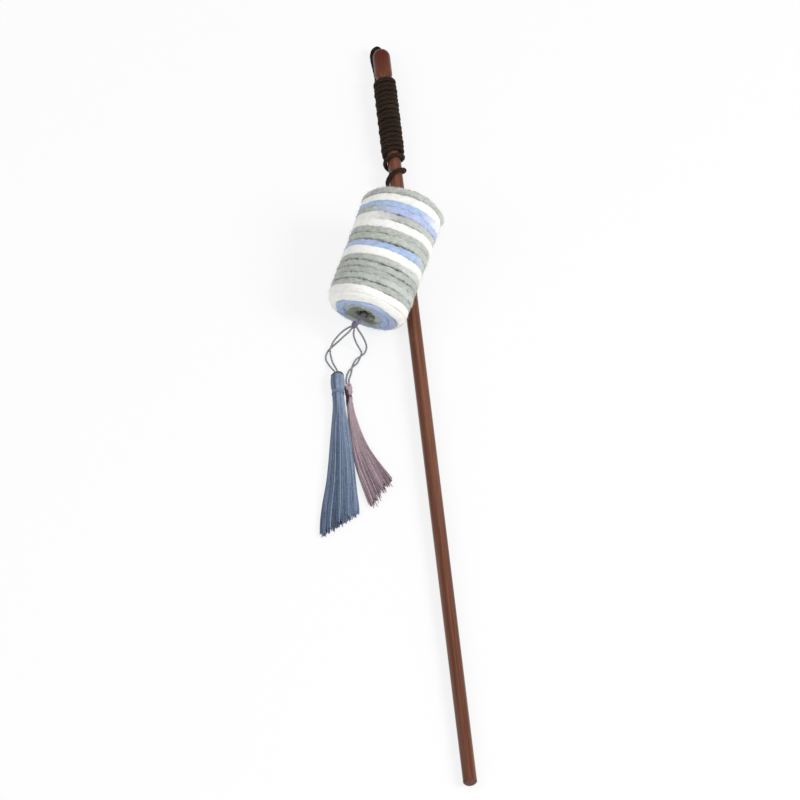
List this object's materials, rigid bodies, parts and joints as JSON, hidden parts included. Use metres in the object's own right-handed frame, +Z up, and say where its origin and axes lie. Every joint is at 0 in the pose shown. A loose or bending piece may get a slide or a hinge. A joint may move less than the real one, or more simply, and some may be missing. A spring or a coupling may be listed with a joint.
{
  "type": "cat teaser wand",
  "caption": "Wooden cat teaser wand lying flat, with a cord wound below its tip, a roll of striped yarn on a short lead and thread tassels on looped threads.",
  "frame": {"origin": "on the table, in the middle of the box round the object", "axes": "+Y along the stick from butt to tip, +Z up, +X to the stick's right seen from the butt; the roll and tassels lie on the -X side"},
  "size_m": [0.072, 0.4205, 0.0503],
  "materials": {
    "varnished_wood": "satin varnish",
    "dark_cord": "waxed braid",
    "neck_thread": "matte",
    "core_card": "matte",
    "striped_yarn": "soft woollen",
    "loop_thread": "matte",
    "blue_thread": "soft sheen",
    "mauve_thread": "soft sheen",
    "binding_thread": "matte"
  },
  "bodies": {
    "wand": {"stick": "varnished_wood", "tip_cord_run": "dark_cord", "cord_winding": "dark_cord"},
    "lead": {"lead_upper": "dark_cord"},
    "hanger": {"lead_lower": "dark_cord", "end_knot": "dark_cord", "thread_neck": "neck_thread"},
    "roll": {"core_tube": "core_card", "core_disc_near": "core_card", "core_disc_far": "core_card", "yarn_winding": "striped_yarn"},
    "blue": {"blue_loop": "loop_thread", "blue_tassel": "blue_thread", "blue_binding": "blue_thread"},
    "mauve": {"mauve_loop": "loop_thread", "mauve_tassel": "mauve_thread", "mauve_binding": "binding_thread"}
  },
  "joints": [
    {"name": "lead_swing", "type": "hinge", "parent": "wand", "child": "lead", "pos_m": [0.02264, 0.11943, 0.01122], "axis": [0, 0, 1], "range_deg": [-75, 0]},
    {"name": "roll_lift", "type": "hinge", "parent": "lead", "child": "hanger", "pos_m": [0.02224, 0.1141, 0.0208], "axis": [-0.9026, 0.4305, 0], "range_deg": [0, 60]},
    {"name": "roll_spin", "type": "hinge", "parent": "hanger", "child": "roll", "pos_m": [-0.00496, 0.0498, 0.01681], "axis": [0.4152, 0.8705, 0.2641], "continuous": true},
    {"name": "blue_swing", "type": "hinge", "parent": "hanger", "child": "blue", "pos_m": [-0.01006, 0.0479, 0.012], "axis": [0, 0, 1], "range_deg": [-35, 0]},
    {"name": "mauve_swing", "type": "hinge", "parent": "hanger", "child": "mauve", "pos_m": [-0.01006, 0.0479, 0.012], "axis": [0, 0, 1], "range_deg": [0, 10]}
  ]
}
